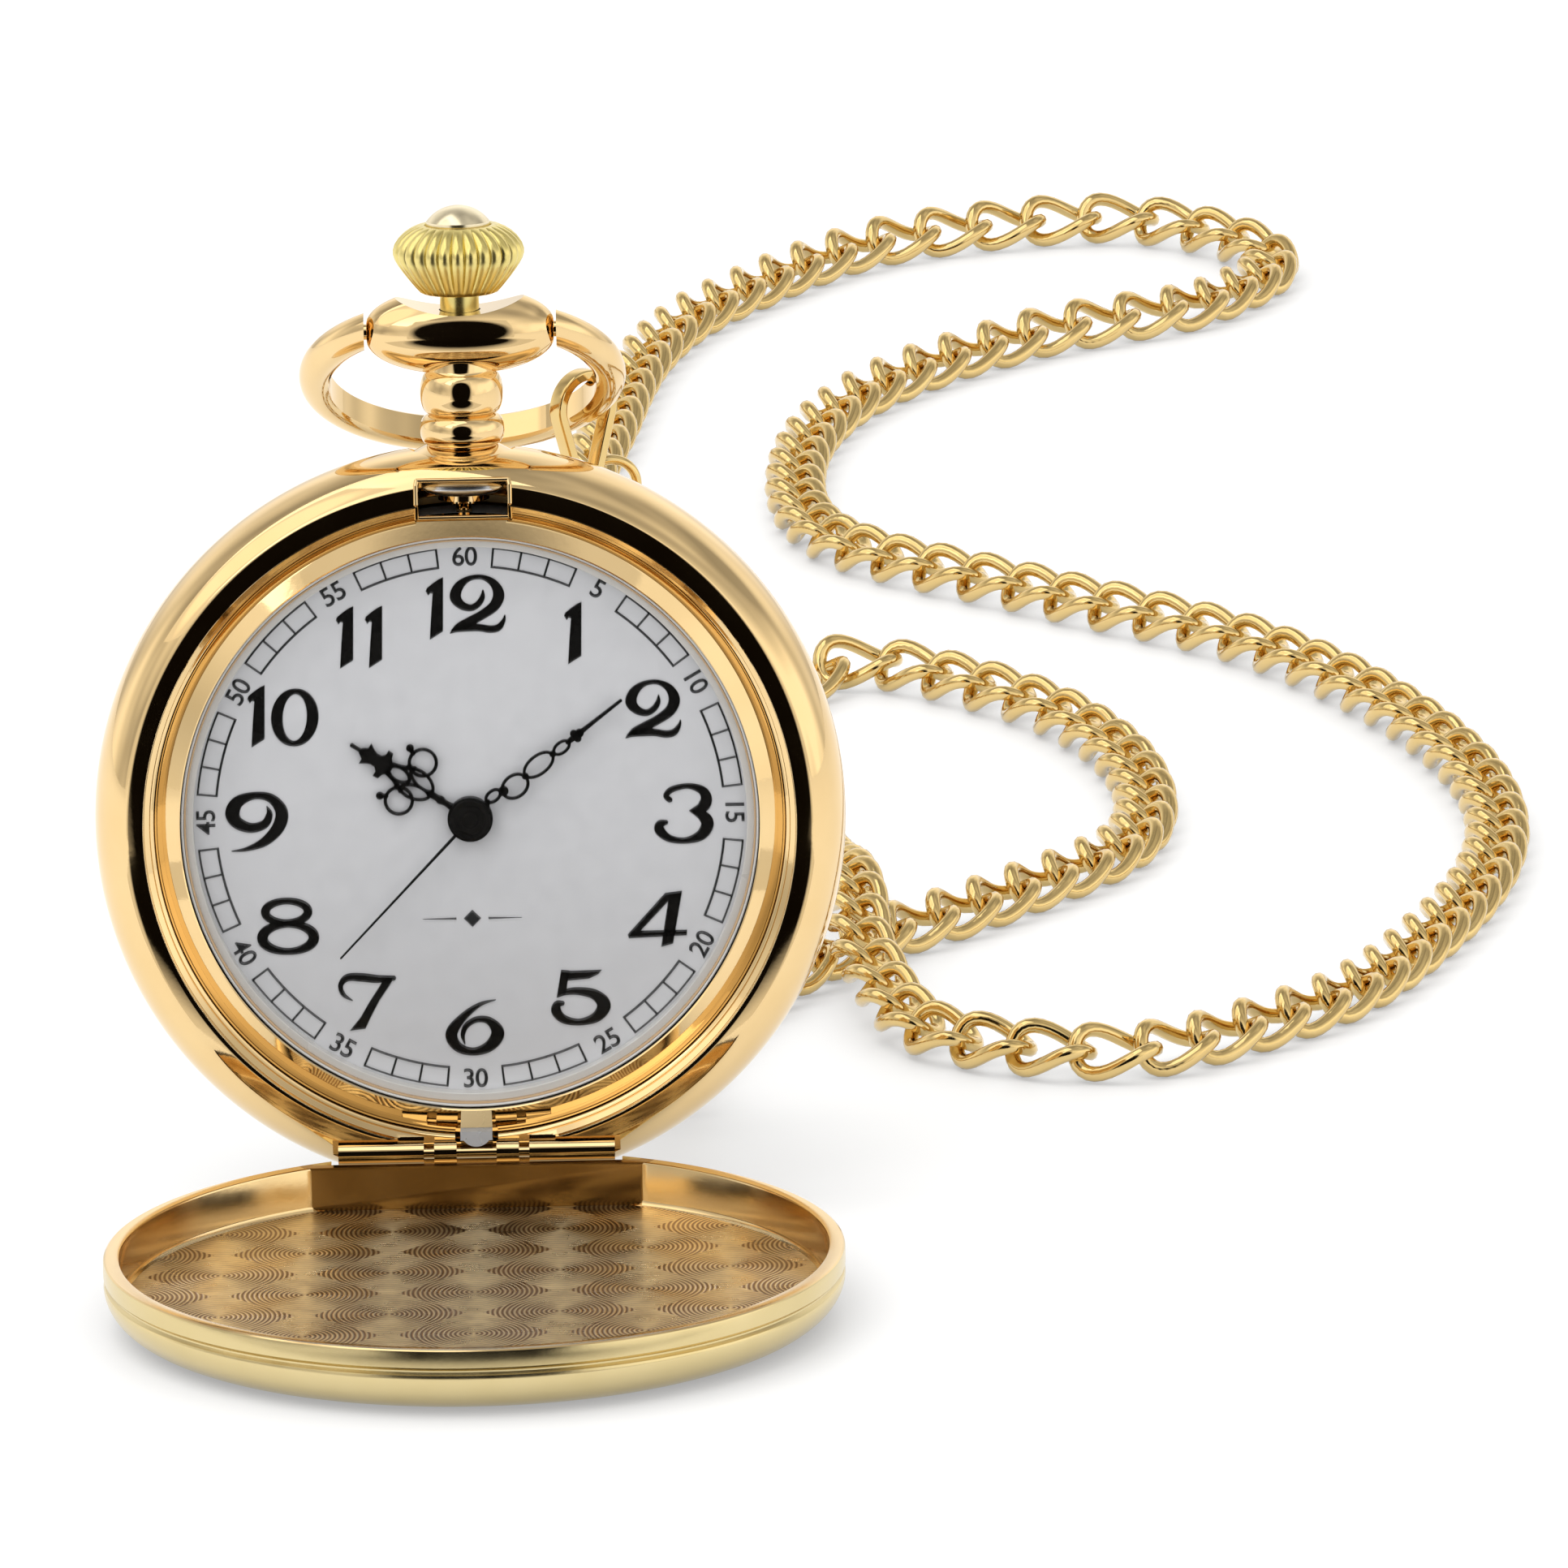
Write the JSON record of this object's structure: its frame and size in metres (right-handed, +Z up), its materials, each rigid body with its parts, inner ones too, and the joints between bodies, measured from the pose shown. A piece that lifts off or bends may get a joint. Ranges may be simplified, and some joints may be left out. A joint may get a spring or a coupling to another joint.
{
  "type": "pocket watch",
  "caption": "Hunter-case pocket watch standing open on its front cover, with a fluted crown, a folded bow and a long curb chain on the bow's clasp.",
  "frame": {"origin": "centre of the open front cover's flat outer face, which rests on the table", "axes": "+Z up from the table, the dial faces -Y, +X is to the right of the dial, and the hinge is parallel to X"},
  "size_m": [0.0927, 0.313, 0.0634],
  "materials": {
    "polished_gold": "mirror polish",
    "satin_gold": "satin",
    "stamped_gold": "circular graining",
    "crown_gold": "satin",
    "pale_gold": "polished",
    "chain_gold": "polished",
    "steel": "brushed",
    "dial_white": "matt lacquer",
    "hands_black": "gloss",
    "crystal_glass": "clear",
    "clear_gasket": "translucent",
    "white_plastic": "moulded",
    "black_plastic": "moulded",
    "circuit_green": "lacquered",
    "copper_winding": "enamelled wire",
    "black_rubber": "matt"
  },
  "bodies": {
    "case": {"case_body": "polished_gold", "case_back": "polished_gold", "back_gasket": "black_rubber", "bezel": "polished_gold", "crystal_gasket": "clear_gasket", "crystal": "crystal_glass", "dial": "dial_white", "holder_ring": "white_plastic", "movement_plate": "black_plastic", "circuit_board": "circuit_green", "drive_coil": "copper_winding", "battery": "steel", "battery_strap": "steel", "neck": "polished_gold", "saddle": "polished_gold", "case_knuckles": "polished_gold", "hinge_pin": "polished_gold", "lift_spring": "steel", "chain": "chain_gold"},
    "front_cover": {"cover_shell": "satin_gold", "cover_floor": "stamped_gold", "cover_knuckle": "polished_gold"},
    "bow": {"bow": "polished_gold", "clasp_hook": "chain_gold", "jump_ring": "chain_gold"},
    "crown_slider": {"crown_tube": "crown_gold"},
    "crown_knob": {"crown": "crown_gold"},
    "button": {"push_button": "pale_gold", "setting_stem": "polished_gold", "stem_collar": "polished_gold"},
    "latch": {"latch_spring": "steel"},
    "hour": {"hour_hand": "hands_black", "hour_pipe": "polished_gold"},
    "minute": {"minute_hand": "hands_black", "cannon_pinion": "polished_gold"},
    "second": {"second_hand": "hands_black", "second_arbor": "polished_gold", "hand_cap": "hands_black"}
  },
  "joints": [
    {"name": "cover_hinge", "type": "hinge", "parent": "case", "child": "front_cover", "pos_m": [0, 0.0207, 0.0048], "axis": [1, 0, 0], "range_deg": [-95, 0], "stiffness_Nm_per_rad": 0.0005, "springref_deg": 28.65},
    {"name": "bow_swing", "type": "hinge", "parent": "case", "child": "bow", "pos_m": [0, 0.02985, 0.0555], "axis": [1, 0, 0], "range_deg": [0, 246]},
    {"name": "crown_pull", "type": "slide", "parent": "case", "child": "crown_slider", "axis": [0, 0.0872, 0.9962], "range_m": [0, 0.001]},
    {"name": "crown_turn", "type": "hinge", "parent": "crown_slider", "child": "crown_knob", "pos_m": [0, 0.03024, 0.05988], "axis": [0, 0.0872, 0.9962], "continuous": true},
    {"name": "button_press", "type": "slide", "parent": "crown_knob", "child": "button", "axis": [0, -0.0872, -0.9962], "range_m": [0, 0.0005], "stiffness_N_per_m": 100, "springref_m": -0.001},
    {"name": "latch_slide", "type": "slide", "parent": "case", "child": "latch", "axis": [0, -0.0872, -0.9962], "range_m": [0, 0.0005]},
    {"name": "second_turn", "type": "hinge", "parent": "case", "child": "second", "pos_m": [0, 0.0249, 0.02521], "axis": [0, 0.9962, -0.0872], "continuous": true},
    {"name": "minute_turn", "type": "hinge", "parent": "case", "child": "minute", "pos_m": [0, 0.02519, 0.02519], "axis": [0, 0.9962, -0.0872], "continuous": true},
    {"name": "hour_turn", "type": "hinge", "parent": "case", "child": "hour", "pos_m": [0, 0.02549, 0.02516], "axis": [0, 0.9962, -0.0872], "continuous": true}
  ],
  "couplings": [
    {"joint": "latch_slide", "follows": "button_press", "ratio": 1},
    {"joint": "minute_turn", "follows": "second_turn", "ratio": 0.016667},
    {"joint": "hour_turn", "follows": "second_turn", "ratio": 0.0013889}
  ]
}
